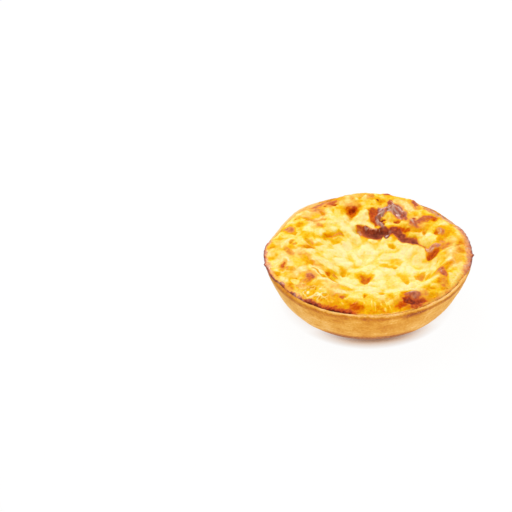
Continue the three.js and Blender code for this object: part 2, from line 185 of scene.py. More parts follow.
# Marks of the oven on the skin. Browning runs from 0, pale custard, to 1, burnt black.
# Level, height of the blister or with a minus depth of the hollow, share of dried milky film, x, y,
# half sizes, lie
MARKS = [
    # far side, left to right
    (0.62, 0.3, 0.65, -24.4, 44.4, 8, 2.1, 32),
    (0.65, 0.4, 0.25, -18.2, 44.8, 4.2, 2.4, 50),
    (0.7, -0.6, 0, -17, 42.8, 1.7, 1, 160),
    (0.74, -0.4, 0, -21.5, 42, 0.7, 0.7, 0),
    (0.54, 0.4, 0.5, -26.2, 38.8, 3.2, 1.7, 20),
    (0.52, -0.5, 0, -24, 36.4, 3.2, 1.8, 100),
    (0.46, -0.8, 0, -31, 30.8, 3.2, 1.5, 162),
    (0.54, 0.3, 0.3, -29.5, 28.8, 3, 0.7, 5),
    (0.48, 0.2, 0.3, -24.5, 29.8, 2.4, 0.7, 25),
    (0.52, 0.2, 0.4, -37, 31, 1.6, 0.6, 20),
    (0.4, -0.6, 0, -36.5, 24, 2, 1.4, 0),
    (0.34, -0.4, 0, -27.7, 33.4, 4, 2.2, 20),
    (0.61, -2.4, 0, -8, 38, 4.5, 4, 68),
    (0.75, -0.3, 0, -7, 39.6, 2.8, 1.7, 20),
    (0.85, -0.4, 0, 5.7, 47.3, 0.5, 0.5, 0),
    (0.46, -0.3, 0, 6.4, 46.4, 3.2, 1.4, 105),
    (0.56, 0.4, 0.2, 2.6, 50.8, 3, 1.3, 85),
    (0.42, -0.3, 0, -2.4, 49.5, 3, 1.2, 80),
    (0.28, -0.3, 0, 0.6, 44.6, 3.6, 2.2, 75),
    (0.72, 0.3, 0.5, 12, 52.6, 2.6, 0.8, 168),
    (0.68, 0.6, 0.5, 25.4, 44.4, 5, 2.4, 112),
    # left side
    (0.58, 0.7, 0.6, -41.8, 21, 3.6, 2.5, 120),
    (0.46, -0.3, 0, -39.4, 17, 2.6, 1.1, 125),
    (0.4, -0.3, 0, -46, 12.5, 2, 1.4, 100),
    (0.58, -0.4, 0, -40.6, 8.2, 1.6, 1, 65),
    (0.5, 0.3, 0.4, -38.6, 7, 1.6, 0.8, 60),
    (0.44, -1, 0, -30.2, 8.6, 3.2, 1.7, 125),
    (0.54, -0.9, 0, -31.4, 4.2, 2.8, 1.7, 15),
    (0.36, -0.5, 0, -16.5, 15.2, 3.4, 1.8, 30),
    (0.36, -0.4, 0, -26.6, 8.2, 2.6, 1.3, 20),
    (0.52, 0.5, 0.3, -42, 1.4, 4, 1.6, 118),
    (0.4, -1, 0, -32, -5, 3.4, 2.2, 110),
    (0.48, -0.6, 0, -30, -9.4, 2.2, 1.2, 120),
    (0.65, 0.4, 0.1, -45, -11.8, 3.6, 1.3, 78),
    (0.5, 0.3, 0.5, -43, -14.6, 1.4, 1, 90),
    (0.48, -0.3, 0, -48, -19, 2.2, 1.2, 110),
    # near side, left to right
    (0.67, 0.8, 0.6, -30.8, -22.2, 3.7, 3, 60),
    (0.28, 0.2, 0.5, -35.4, -29.6, 5, 2.6, -40),
    (0.56, 0.3, 0.2, -31.4, -25.4, 2.6, 1.7, 60),
    (0.52, 0.3, 0.3, -34.6, -25.4, 2.2, 1.1, 30),
    (0.62, -1.3, 0, -21, -15.6, 4.2, 1.3, 80),
    (0.52, 0.3, 0.3, -17.6, -13.4, 2, 1, 100),
    (0.38, -1.4, 0, -13.2, -8, 3, 1.8, 90),
    (0.59, -2.4, 0.1, -1.7, -12.4, 4.7, 3.4, 88),
    (0.62, -0.5, 0.3, -13.8, -39.6, 2.2, 1.7, 60),
    (0.46, -0.4, 0, -17.6, -39.4, 2.4, 1.6, 0),
    (0.54, -0.4, 0, -2.4, -39.2, 1.7, 0.8, 80),
    (0.4, -0.3, 0, 6.4, -36.5, 2.2, 1, 140),
    (0.36, -0.3, 0, -12.8, -32, 4, 2, -15),
    (0.65, 0.3, 0, -7.6, -47, 5, 2.6, 168),
    (0.69, 0.3, 0.3, 22.6, -42.4, 7.8, 5, 18),
    (0.69, 1.7, 0.75, 23, -37.8, 5.2, 2.8, 8),
    (0.8, -1.2, 0.2, 21.8, -43, 4.6, 2.1, 8),
    (0.72, -0.8, 0.2, 27, -42.2, 3.6, 1.5, 22),
    (0.76, -0.4, 0.1, 18.6, -41.6, 1.8, 1.2, 60),
    (0.68, 0.5, 0.3, 24.4, -46, 4.6, 1.4, 25),
    (0.66, 0.3, 0, 16.8, -45.6, 4.6, 2.8, 40),
    (0.52, 0.3, 0.4, 29.8, -36.6, 2.6, 1.4, 120),
    (0.52, 0.3, 0, 30.8, -32.3, 1.8, 1.1, 70),
    (0.46, -0.5, 0, 33.6, -37, 2.4, 1.3, 35),
    (0.54, 0.3, 0.4, 39.5, -28, 2, 1.2, 120),
    (0.62, -0.3, 0, 41, -30.6, 1, 0.7, 0),
    (0.68, 0.9, 0.6, 37.6, -14.8, 3.6, 2.5, 62),
    (0.66, -0.3, 0.5, 39.4, -18.4, 4.4, 2.2, 105),
    (0.48, 0.2, 0.2, 40, -25, 4.6, 1.8, 95),
    (0.52, 0.2, 0, 42, -11.2, 4.8, 2.1, 45),
    (0.48, -0.4, 0, 41.6, -13.6, 2.4, 1.2, 60),
    (0.38, -0.3, 0.2, 47.5, -5.7, 4, 2.2, 95),
    # middle and right side
    (0.35, -1, 0, 11.4, -1, 3.8, 1.6, 168),
    (0.46, -0.6, 0, 14.4, -2.4, 1.2, 1.1, 90),
    (0.28, -0.6, 0, 15, 1.8, 3, 1.8, 0),
    (0.33, -1.4, 0, 19.6, -12.6, 4.8, 1.9, 117),
    (0.46, -1, 0.3, 28, -10.6, 2.4, 2.2, 90),
    (0.4, -0.5, 0, 31.4, -13, 2, 0.9, 60),
    (0.4, -0.9, 0, 13.6, 13.4, 1.9, 1.4, 120),
    (0.6, 1.4, 0.8, 34.4, 6.6, 4.8, 2.8, 8),
    (0.72, -0.3, 0.4, 37.2, 6.2, 1.5, 1.1, 40),
    (0.67, -2, 0.12, 34.2, 2.2, 4, 2.6, 8),
    (0.53, -0.4, 0.3, 41, 5.4, 4.2, 2, 25),
    (0.57, 0.9, 0.5, 39, 17.4, 3.4, 2.3, 105),
    (0.6, -0.4, 0, 36.4, 17.2, 2.2, 1.2, 95),
    (0.48, -0.3, 0, 40, 12, 4.4, 2, 75),
    (0.48, -0.3, 0, 43, 15, 3.4, 0.9, 75),
    (0.52, 0.4, 0.5, 39.6, 9, 1.6, 1.2, 0),
    (0.43, -0.7, 0, 27.6, 21.8, 4.6, 2.2, 15),
    (0.54, -0.5, 0, 30.6, 19.4, 2.2, 1.2, 95),
    (0.67, 0.4, 0.7, 25, 27.4, 4.4, 3, 110),
    (0.7, 0.2, 0.3, 25.4, 31, 2.2, 1.2, 150),
    (0.5, 0.5, 0.2, 32.4, 30, 5.2, 2.6, 25),
    (0.62, -0.3, 0, 35.8, 28.5, 1.8, 1, 30),
    (0.68, -0.8, 0.1, 16.4, 29.8, 2.6, 1.6, 150),
    (0.84, -1.4, 0.1, 7.8, 31.2, 1.4, 1.6, 90),
    (0.8, -1.3, 0.2, 10.8, 22.4, 3.2, 2.4, 55),
    (0.74, -0.8, 0.2, 9.2, 28.8, 1.1, 1, 90),
]

# Marks fade beyond their edge, and hollows pinch and lean to their near lip and calm the rice round them
MARK_SPREAD = 1.2
HOLLOW_PINCH = 0.35
HOLLOW_LEAN = 0.55
CALM_DEPTH = 1

# How much of a blister, hollow or streak is fully browned
BLISTER_CORE = 0.4
HOLLOW_CORE = 0.65
STREAK_CORE = 0.55

# Line of the curled wrinkle, which is browned and catches the light
CURLED_WRINKLE = [(8.2, 27.6), (7.2, 28.8), (6, 30.6), (5.6, 32.6), (6.6, 34.6), (8.8, 36.6), (11.5, 38.4)]

# Lines of browning: level, half width, share of dried milky film, points
STREAKS = [
    # curled wrinkle and the leathery fold
    (0.76, 1.6, 0.9, CURLED_WRINKLE),
    (0.67, 2.8, 0.1, [(3.8, 29), (3.3, 32.4), (3.6, 36.4)]),
    (0.6, 1.7, 0.1, [(1.4, 36.4), (4.4, 37)]),
    (0.68, 1.6, 0.2, [(3.6, 36.6), (6, 36.8), (8.6, 37.4)]),
    (0.64, 1.5, 0.15, [(3.4, 37.6), (5.2, 38), (7.4, 38.4)]),
    (0.74, 2.5, 0.9, [(8.4, 38), (11, 38.4), (14, 39.4), (15.6, 40.2)]),
    (0.73, 2.9, 0.9, [(15, 40.6), (16.4, 38.4), (17.6, 36.2)]),
    (0.72, 2.3, 0.85, [(17.6, 36.2), (19, 34)]),
    (0.69, 1.4, 0.5, [(19, 34), (20.9, 31)]),
    (0.74, 1.5, 0.5, [(14.6, 41.6), (13.6, 43.6), (13, 46)]),
    # glossy edge in the hollow under the far flap
    (0.5, 1.2, 0.8, [(10, 21), (11.6, 22.2), (12.8, 23.8)]),
    (0.52, 0.9, 0.8, [(-3.6, 23.2), (-3.4, 26)]),
    # hollow beyond the torn edge of the near flap
    (0.76, 3, 0.35, [(14.8, 24), (16.8, 21.4), (18.6, 18.2)]),
    (0.73, 2.5, 0.45, [(19.2, 17.4), (21.6, 15.4), (24, 13.6)]),
    (0.66, 1.1, 0.3, [(25.4, 12.6), (27.8, 10.8), (29.4, 8.8)]),
    (0.64, 1.6, 0, [(16.5, 24.6), (19.5, 23.8), (22, 22.2)]),
    # beyond the pink blister
    (0.66, 1.7, 0.45, [(28, 27.8), (30.4, 29.8), (32.4, 30.8), (34, 31.2)]),
    (0.6, 1.2, 0.15, [(32.6, 29.2), (36.4, 30)]),
    # left creases
    (0.52, 1.8, 0, [(-22.6, 16.6), (-19.6, 19)]),
    (0.55, 1.2, 0.25, [(-19.4, 18.4), (-17, 20.2), (-14.4, 22)]),
    (0.46, 0.9, 0, [(-28, -14.5), (-25.5, -18.5), (-24, -22)]),
]
STREAK_SAMPLES = 20

# Painted highlights: bright lines painted into the skin where wrinkled film catches the light: strength, half
# width, points
GLINTS = [
    (0.75, 0.55, CURLED_WRINKLE[:6]),
    (0.7, 0.6, [(7.6, 39), (10.4, 39.8), (13.4, 40.8), (15.4, 42.4)]),
    (0.6, 0.5, [(10.8, 37.6), (13.4, 38.6), (15.4, 40.4), (16, 42)]),
    (0.65, 0.6, [(15.8, 42.2), (18, 39.2), (19.6, 36.2)]),
    (0.5, 0.5, [(14.6, 39), (16.4, 37.2), (18.2, 34.4)]),
    (0.5, 0.5, [(13.2, 45.4), (14.4, 43.4)]),
    (0.6, 0.3, [(-0.7, 27.8), (2.1, 26.3), (3.7, 25.5), (6.4, 25.9)]),
    (0.6, 0.6, [(10.4, 21.6), (11.6, 22.6), (12.6, 24)]),
    (0.75, 0.6, [(30.6, 7.4), (32.6, 6.6), (34.4, 7.4), (36.4, 7.8)]),
    (0.65, 0.5, [(31.8, 5.4), (33.4, 5), (35, 5.6)]),
    (0.5, 0.5, [(23.6, 30), (24.4, 27.6), (25.8, 25)]),
    (0.4, 0.4, [(38.4, 15.6), (39.6, 17.2), (39.2, 19)]),
    (0.35, 0.7, [(19.6, -36.6), (22.4, -37.6), (25.4, -36.8)]),
    (0.4, 0.6, [(37, -13.4), (38, -15.6), (38.2, -18)]),
    (0.4, 0.6, [(-3.8, 23), (-3.4, 25.6)]),
    (0.35, 0.6, [(-32, -20.4), (-30.2, -21.4)]),
]
GLINT_SAMPLES = 16

# Skin that caught along the rim: heading of the middle and half width in degrees, width, level, film
RIM_STRIPS = [
    (17, 39, 3, 0.57, 0.9),
    (183, 19, 1.8, 0.53, 0.85),
    (216, 18, 1, 0.66, 0.6),
    (236, 10, 1.9, 0.73, 0.25),
    (252, 13, 3, 0.71, 0.15),
]
RIM_STRIP_FADE = 7

# Thin burnt line at the very edge of the skin, between pairs of headings in degrees
BURNT_EDGES = [(-15, 58), (158, 212), (73, 82)]
BURNT_EDGE_FADE = 5

# Pale grains and pillows that stand out of the browned skin: level, height, x, y, half sizes, lie
PALE_LUMPS = [
    (0.08, 1.2, -2, 33.4, 5, 2.7, 62),
    (0.24, 1.2, 12.4, 32.8, 3.8, 1.7, 92),
    (0.24, 1, 20, 27.4, 2.7, 1.8, 10),
    (0.2, 1, 25.3, 18.6, 3.2, 1.9, 5),
    (0.14, 1.3, 31.5, 12.2, 4.6, 3.6, 150),
    (0.08, 0.2, -21, -5.8, 8.4, 3.2, -18),
    (0.1, 0.2, -6.4, -4.7, 4, 2.4, 10),
    (0.08, 0.2, 26, 1.4, 3, 4.2, 10),
    (0.08, 0.2, 10.6, 6.6, 5, 2.6, -10),
    (0.12, 0.2, 13.4, -12.8, 2.6, 3.6, 0),
    (0.08, 0.2, -6.4, 18.5, 4, 2.4, -20),
    (0.14, 0.2, -39, -25.3, 3, 1.8, -45),
    (0.1, 0.2, -24.8, 5.6, 3, 2.2, 0),
    (0.1, 0.2, 3.6, 18.3, 3.2, 1.8, 0),
    (0.18, 0.2, -16, 36.9, 3, 1.8, 60),
    (0.16, 0.2, -48.6, 15.5, 3, 1.8, 70),
]

# Painted highlight: the crest of the near ring, painted pale where it catches the light
CREST_HIGHLIGHT = [
    (-30, -13), (-24, -21), (-15, -28.5), (-5, -31.5), (6, -34.5),
    (17, -33), (26, -30.5), (33, -24), (38, -14), (43, -6),
]
CREST_HIGHLIGHT_WIDTH = 2.6
CREST_SAMPLES = 24

# Levels of browning between the marks, round them and at the rim
CREST_HIGHLIGHT_LEVEL = 0.05
NEAR_RIM_LEVEL = 0.44
HEM_LEVEL = 0.34
EDGE_LEVEL = 0.5
NEAR_EDGE_LEVEL = 0.36
GLASSY_LEVEL = 0.45
HALO_LEVEL = 0.45
GLOW_LEVEL = 0.5
FLAP_TOP_LEVEL = 0.1
BURNT_LEVEL = 0.82
FRECKLE = 0.16

# Patches of glassy bubbles: strength, x, y, half sizes, lie
BUBBLE_PATCHES = [
    (1, -29, -36, 11, 6, -42),
    (0.8, -35.5, -29, 6, 4, -45),
    (0.7, -13, -43, 8, 4, -15),
    (0.5, -44, -16, 9, 4, -60),
    (0.4, 34, -33, 8, 4, 40),
]
BUBBLE_SPACING = 2.0
BUBBLE_RELIEF = 0.5

# Patch of glassy strokes, their width, how they are drawn out, and their height
STROKE_PATCH = (7, -46, 14, 5, 4)
STROKE_WIDTH = 1.0
STROKE_SQUEEZE = 0.22
STROKE_RELIEF = 0.15

# Swellings of the skin over clumps of rice and over single grains, on jittered grids: spacing, length,
# width, salt of the grid, and their heights
CLUMPS = (9.5, 15, 10.5, 1)
GRAINS = (5.2, 7, 3.6, 2)
SMALLEST_SWELLING = 0.55
CLUMP_RELIEF = 0.9
GRAIN_RELIEF = 0.4
CREASE_RELIEF = 0.4

# Unevenness of the skin, patchiness of its browning, and shifts of the marks' outlines: height, size of
# the lumps, salt
SKIN_TEXTURE = [(0.3, 4, 2), (0.11, 2.1, 3), (0.05, 1.1, 4)]
MOTTLE = [(0.6, 5, 11), (0.4, 2.4, 12)]
GRIT = [(0.6, 1.3, 14), (0.4, 2.4, 15)]
OUTLINE_SHIFT_X = [(0.9, 4, 21), (0.6, 1.7, 22)]
OUTLINE_SHIFT_Y = [(0.9, 4, 23), (0.6, 1.7, 24)]

# Grain of the finishes
SKIN_MOTTLE = 1.4
SKIN_PORES = 0.8
PORE_DEPTH = 0.35
GLOW_DEPTH = 1.6
CRUST_CRUMB = 1.2
CRUMB_BUMP = 0.3
CRUST_PATCHES = 7
TIN_STREAKS = 1.5
TIN_STREAK_SQUEEZE = (0.14, 0.14, 1)
FLOUR_GRAIN = 0.8

# Colours as they brown: place on the way from pale to burnt, egg skin, milky film on it
SKIN_COLOURS = [
    (0.0, "#FFF3B8", "#FFF7DA"),
    (0.1, "#FFEB9C", "#FFEEC4"),
    (0.2, "#FEDE6C", "#FEE0A4"),
    (0.3, "#F9CE38", "#FCCF88"),
    (0.4, "#F1BA0C", "#F8BA74"),
    (0.5, "#E69A00", "#EAA062"),
    (0.6, "#DA7000", "#D2845A"),
    (0.68, "#C85004", "#BC6E52"),
    (0.76, "#A53604", "#A25A48"),
    (0.84, "#78240A", "#824638"),
    (0.92, "#4E190D", "#5C302C"),
    (1.0, "#30120C", "#3A1E1C"),
]
# Colour of the painted highlights along the wrinkles
GLINT = "#E8D2C6"
CRUST_COLOURS = [
    (0, "#FFD088"),
    (0.2, "#F2B650"),
    (0.4, "#E29C2C"),
    (0.6, "#D0801C"),
    (0.8, "#BA641A"),
    (1, "#9A4A18"),
]
FLOUR = "#FFDCA0"

# Floor, whose shadow is painted into its glow: how near the tart it lies in shadow, the shadow's colours
# from darkest to none, and the way and distance forwards over which the shadow gains its full depth
FLOOR_SIZE = 6000
CONTACT_SHADOW = 5.5
LIT_FLOOR = "#FBFBFB"
SHADOW_COLOURS = [
    (0, "#4E2606"),
    (0.17, "#8A4A18"),
    (0.24, "#C49874"),
    (0.37, "#DEC8B7"),
    (0.62, "#EAE1DB"),
    (0.95, LIT_FLOOR),
]
SHADOW_WAY = (0.1, -1, 0)
SHADOW_START = 28
SHADOW_FULL = 41
SIDE_SHADOW = 0.2

# Softboxes: name, place, size, power in watts, colour
SOFTBOXES = [
    ("key_softbox", (-250, 800, 1400), 1000, 11.5, "#FFFAF2"),
    ("back_strip", (-300, 1200, 1000), 300, 3.5, "#FFFFFF"),
    ("front_fill", (300, -1500, 900), 1400, 8, "#FFE4BC"),
]

# Camera: the middle of the base in the photograph, and the scale there
PHOTO_PIXELS = 512
BASE_PIXEL = (366.93, 295.05)
PIXELS_PER_MM = 1.875
ELEVATION = math.radians(36.2)
LENS = 300
SENSOR = 36
CAMERA_REACH = 20000


def smooth(value, low, high):
    """0 at low, 1 at high, and a soft S between them."""
    share = np.clip((value - low) / (high - low), 0, 1)
    return share * share * (3 - 2 * share)


def blend(low, high, share):
    return low + (high - low) * share


def darken(browning, level, share):
    return np.maximum(browning, blend(browning, level, share))


def polar(x, y):
    return np.hypot(x, y), np.arctan2(y, x)


def draw(column, row, salt):
    """A value from 0 to 1 that looks random but is the same for a cell each time."""
    value = np.sin(column * 127.1 + row * 311.7 + salt * 74.7) * 43758.5453
    return value - np.floor(value)


def lumps(x, y, z, size, salt):
    """Smooth noise from -1 to 1 whose lumps are about one size across."""
    scaled = [np.asarray(c, float) / size for c in (x, y, z)]
    cells = [np.floor(c) for c in scaled]
    eased = [smooth(c - cell, 0, 1) for c, cell in zip(scaled, cells)]
    total = 0
    for corner in np.ndindex(2, 2, 2):
        weight = 1
        for step, share in zip(corner, eased):
            weight = weight * (share if step else 1 - share)
        column, row, layer = [cell + step for cell, step in zip(cells, corner)]
        total = total + weight * draw(column, row, layer + 17 * salt)
    return 2 * total - 1


def layered(x, y, z, layers):
    """Lumps of several sizes together."""
    return sum(height * lumps(x, y, z, size, salt) for height, size, salt in layers)


def wander(x, y, reach, size, salt):
    """Places shifted a little, so that a line drawn through them is not ruled."""
    return x + reach * lumps(x, y, 0, size, salt), y + reach * lumps(x, y, 0, size, salt + 1)


def degrees_from(heading, middle):
    """How far a heading is from a direction, both ways round, in degrees."""
    turned = heading - math.radians(middle)
    return np.degrees(np.abs(np.arctan2(np.sin(turned), np.cos(turned))))


def dent(heading):
    return np.cos(math.pi / 2 * np.minimum(degrees_from(heading, DENT_HEADING) / DENT_HALF_WIDTH, 1)) ** 2


def rim_wave(heading):
    wave = RIM_WAVE * (np.sin(3 * heading + 0.6) + 0.6 * np.sin(7 * heading + 2))
    return wave - DENT_DROP * dent(heading)


def rim_stretch(heading):
    return 1 + OUT_OF_ROUND * np.sin(3 * heading + 1) - DENT_SHARE * dent(heading)


def wall_section(inset, rim_inset, floor, top, rings):
    """Radius and height up the wall, from the flat floor to the rim, set in from the outer face."""
    share = np.linspace(0, 1, rings + 1)
    radii = (FLAT_RADIUS, CORNER_RADIUS - inset, BELLY_RADIUS - inset, RIM_RADIUS - rim_inset)
    heights = (floor, floor, BELLY_HEIGHT, top)
    weights = ((1 - share) ** 3, 3 * share * (1 - share) ** 2, 3 * share ** 2 * (1 - share), share ** 3)
    radius = sum(w * r for w, r in zip(weights, radii))
    height = sum(w * h for w, h in zip(weights, heights))
    return list(zip(radius, height))


def inner_section(gap, rings):
    """Radius and height down the inside of the wall, or down a filling with a gap round it."""
    insets = [thickness + gap for thickness in (WALL_THICKNESS, RIM_THICKNESS, FLOOR_THICKNESS)]
    return wall_section(*insets, WALL_TOP, rings)[::-1]


def spline(points, samples):
    """A smooth line through a few points."""
    ends = np.array([points[0], *points, points[-1]], float)
    spans = len(points) - 1
    result = []
    for share in np.linspace(0, spans, samples + 1):
        span = min(int(share), spans - 1)
        t = share - span
        a, b, c, d = ends[span:span + 4]
        bend = 2 * a - 5 * b + 4 * c - d
        twist = 3 * b - a - 3 * c + d
        result.append(0.5 * (2 * b + (c - a) * t + bend * t * t + twist * t ** 3))
    return np.array(result)


def beside(x, y, line):
    """Signed distance to a line, positive on its right, the share of the way along it, and the way right."""
    nearest = np.full(x.shape, np.inf)
    signed = np.zeros(x.shape)
    share = np.zeros(x.shape)
    right = np.zeros((2,) + x.shape)
    for step, (start, end) in enumerate(zip(line[:-1], line[1:])):
        run = end - start
        dx = x - start[0]
        dy = y - start[1]
        part = np.clip((dx * run[0] + dy * run[1]) / (run @ run), 0, 1)
        distance = np.hypot(dx - part * run[0], dy - part * run[1])
        side = np.where(run[0] * dy - run[1] * dx < 0, 1, -1)
        closer = distance < nearest
        nearest = np.where(closer, distance, nearest)
        signed = np.where(closer, distance * side, signed)
        share = np.where(closer, (step + part) / (len(line) - 1), share)
        right = np.where(closer, np.array([[run[1]], [-run[0]]]) / np.hypot(*run), right)
    return signed, share, right


def in_oval(x, y, cx, cy, half_length, half_width, lie, lean=0):
    """Distance from the deepest point of an oval, 1 on its edge. The point leans to the near side."""
    turn = math.radians(lie)
    along = ((x - cx) * math.cos(turn) + (y - cy) * math.sin(turn)) / half_length
    across = ((y - cy) * math.cos(turn) - (x - cx) * math.sin(turn)) / half_width
    if not lean:
        return np.hypot(along, across)
    lean_along = -lean * math.sin(turn)
    lean_across = -lean * math.cos(turn)
    away = (along - lean_along) * lean_along + (across - lean_across) * lean_across
    square = (along - lean_along) ** 2 + (across - lean_across) ** 2
    room = 1 - lean * lean
    return (away + np.sqrt(away * away + room * square)) / room


def mark_distance(x, y, mark):
    """Distance from the middle of a mark, 1 on its edge. A hollow pinches and deepens to its near lip."""
    _, height, _, *oval = mark
    if height >= 0:
        return in_oval(x, y, *oval)
    cx, cy, half_length, half_width, _ = oval
    beyond = np.clip((y - cy) / max(half_length, half_width), -1, 1)
    pinched = cx + (x - cx) / (1 + HOLLOW_PINCH * beyond)
    return in_oval(pinched, y, *oval, HOLLOW_LEAN)


def over_rim(heading):
    """0 where the skin stops inside the rim, 1 where it runs right over it."""
    share = np.zeros(heading.shape)
    for middle, half_width, most in SPILLS:
        away = degrees_from(heading, middle)
        share = np.maximum(share, most * smooth(half_width - away, 0, SPILL_TAPER * half_width))
    return smooth(share, SPILL_START, 1)


def skin_edge(heading):
    """Where the skin ends on a heading: its radius, and its level, which lies on the rounded rim."""
    radius = blend(FILLING_RADIUS + RIM_LAP, RIM_RADIUS + SPILL_OVERHANG, over_rim(heading))
    inset = np.clip((RIM_RADIUS - radius) / (RIM_THICKNESS / 2) - 1, 0, 1)
    below = RIM_ROUNDING * (1 - np.sqrt(1 - inset ** 2))
    level = CASE_HEIGHT + rim_wave(heading) + FILLING_GAP - below
    return radius * rim_stretch(heading), level


def tags(heading):
    """Reach and rise of the scorched tags at the rim."""
    reach = np.zeros(heading.shape)
    rise = np.zeros(heading.shape)
    for middle, half_width, out, up in TAGS:
        share = smooth(degrees_from(heading, middle) / half_width, 1, 0)
        reach += out * share
        rise += up * share
    return reach, rise


def swellings(x, y, spacing, length, width, salt):
    """Relief of the rice under the skin, 1 on top of a full swelling."""
    column = np.floor(x / spacing)
    row = np.floor(y / spacing)
    relief = np.zeros(x.shape)
    for step in np.ndindex(3, 3):
        i = column + step[0] - 1
        j = row + step[1] - 1
        dx = x - (i + draw(i, j, 10 * salt + 1)) * spacing
        dy = y - (j + draw(i, j, 10 * salt + 2)) * spacing
        lie = draw(i, j, 10 * salt + 3) * math.pi
        along = (dx * np.cos(lie) + dy * np.sin(lie)) / (length / 2)
        across = (dy * np.cos(lie) - dx * np.sin(lie)) / (width / 2)
        size = blend(SMALLEST_SWELLING, 1, draw(i, j, 10 * salt + 4))
        relief = np.maximum(relief, size * np.clip(1 - along * along - across * across, 0, 1))
    return relief


def bubble_patch(x, y):
    """How far the skin has set in glassy bubbles, from 0 to 1."""
    share = np.zeros(x.shape)
    for strength, *oval in BUBBLE_PATCHES:
        share = np.maximum(share, strength * smooth(in_oval(x, y, *oval), 1.2, 0.5))
    return share


def strokes(x, y):
    """Thin glassy strokes that run outwards across the near rim."""
    radius, heading = polar(x, y)
    lines = lumps(heading * RIM_RADIUS, STROKE_SQUEEZE * radius, 0, STROKE_WIDTH, 61)
    return smooth(in_oval(x, y, *STROKE_PATCH), 1.2, 0.6) * smooth(lines, 0.25, 0.6)


def bubble_relief(x, y):
    """Broken squiggles that burst bubbles left in the glassy film."""
    wx, wy = wander(x, y, 0.9, 2.6, 63)
    lines = smooth(np.abs(lumps(wx, wy, 0, BUBBLE_SPACING, 62)), 0.3, 0.08)
    return bubble_patch(x, y) * lines * smooth(lumps(x, y, 0, 2.9, 65), -0.4, 0.2)


def fold_relief(x, y):
    """Relief of the flaps and wrinkles, how far the lips curl sideways, and where hollows keep it calm."""
    wx, wy = wander(x, y, 0.5, 3, 41)
    relief = np.zeros(x.shape)
    curl = np.zeros((2,) + x.shape)
    calm = np.zeros(x.shape)
    for points, (ridge, width, drop, run, lip), _ in FLAPS:
        signed, share, right = beside(wx, wy, spline(points, FOLD_SAMPLES))
        taper = smooth(share, FLAP_START, FLAP_START + FOLD_TAPER) * smooth(1 - share, 0, FOLD_TAPER)
        relief += taper * ridge * np.exp(-(signed / width) ** 2)
        relief -= taper * drop * smooth(signed, -0.4, LIP_STEP) * smooth(signed, run, LIP_STEP)
        curl += taper * lip * np.exp(-(signed / CURL_WIDTH) ** 2) * right
        calm = np.maximum(calm, taper * smooth(signed, -3, -1) * smooth(signed, 1.6 * run, run))
    for height, width, points in FOLDS:
        signed, share, _ = beside(wx, wy, spline(points, FOLD_SAMPLES))
        taper = smooth(share, 0, FOLD_TAPER) * smooth(1 - share, 0, FOLD_TAPER)
        relief += taper * height * np.exp(-(signed / width) ** 2)
    for mark in MARKS:
        if mark[1] < -CALM_DEPTH:
            calm = np.maximum(calm, smooth(mark_distance(x, y, mark), 1.9, 1.2))
    return relief, curl, calm


def mark_relief(x, y):
    relief = np.zeros(x.shape)
    for mark in MARKS:
        away = np.minimum(mark_distance(x, y, mark) / MARK_SPREAD, 1)
        relief += mark[1] * (1 - away ** 2) ** 2
    for _, height, *oval in PALE_LUMPS:
        relief += height * smooth(in_oval(x, y, *oval), MARK_SPREAD, 0.2)
    return relief


def crest_radius(heading):
    return RING_RADIUS + RING_SHIFT * np.cos(heading - RING_SHIFT_HEADING)


def on_ring(radius, heading):
    return smooth(radius / crest_radius(heading), 0.6, 0.95)


def skin_form(x, y):
    """Height of the skin without its marks, between the sunken middle and the skin's edge."""
    radius, heading = polar(x, y)
    edge, edge_level = skin_edge(heading)
    crest = crest_radius(heading)
    crest_level = RING_LEVEL + RING_WAVE * (np.sin(2 * heading + 0.4) + np.sin(5 * heading))
    foot = blend(GENTLE_FOOT, STEEP_FOOT, smooth(np.cos(heading - STEEP_HEADING), -0.3, 0.75))
    bowl = blend(DIP_LEVEL, crest_level, smooth(radius / crest, foot, 1))
    outward = np.clip((radius - crest) / (edge - crest), 0, 1)
    spilt = over_rim(heading)
    edge_level = edge_level + blend(BARE_EDGE, SKIN_EDGE, spilt)
    return blend(edge_level, bowl, (1 - outward ** 2) ** blend(BARE_ROUNDING, SPILT_ROUNDING, spilt))


def creases(x, y):
    """Fine sharp wrinkles of leathery skin, 1 on their crests."""
    wx = x + 1.2 * lumps(x, y, 0, 3, 51)
    return 1 - 1.8 * np.abs(lumps(wx, y, 0, 3.2, 5) + 0.3 * lumps(x, wx + y, 0, 1.7, 52))


def skin_points(x, y):
    """The skin's points over flat ones, with every mark of the oven in relief."""
    radius, heading = polar(x, y)
    edge, _ = skin_edge(heading)
    folds, curl, calm = fold_relief(x, y)
    clumps = CLUMP_RELIEF * (swellings(x, y, *CLUMPS) - 0.6)
    clumps = clumps * blend(1, 0.6, on_ring(radius, heading)) * (1 - calm)
    grains = GRAIN_RELIEF * (1 - 0.5 * calm) * swellings(x, y, *GRAINS)
    relief = clumps + grains + folds + mark_relief(x, y)
    relief += BUBBLE_RELIEF * bubble_relief(x, y) + STROKE_RELIEF * strokes(x, y)
    relief += layered(x, y, 0, SKIN_TEXTURE)
    _, _, leather = skin_look(x, y)
    relief += leather * CREASE_RELIEF * (creases(x, y) - 0.5)
    fade = smooth(edge - radius, 0, EDGE_FADE)
    reach, rise = tags(heading)
    at_edge = smooth(edge - radius, TAG_DEPTH, 0)
    height = skin_form(x, y) + fade * relief + at_edge * (rise + 0.25 * lumps(x, y, 0, 1.6, 6))
    out = 1 + at_edge * (reach + 0.2 * lumps(x, y, 0, 1.3, 7)) / np.maximum(radius, 1)
    return np.stack([x * out + curl[0], y * out + curl[1], height], 1)


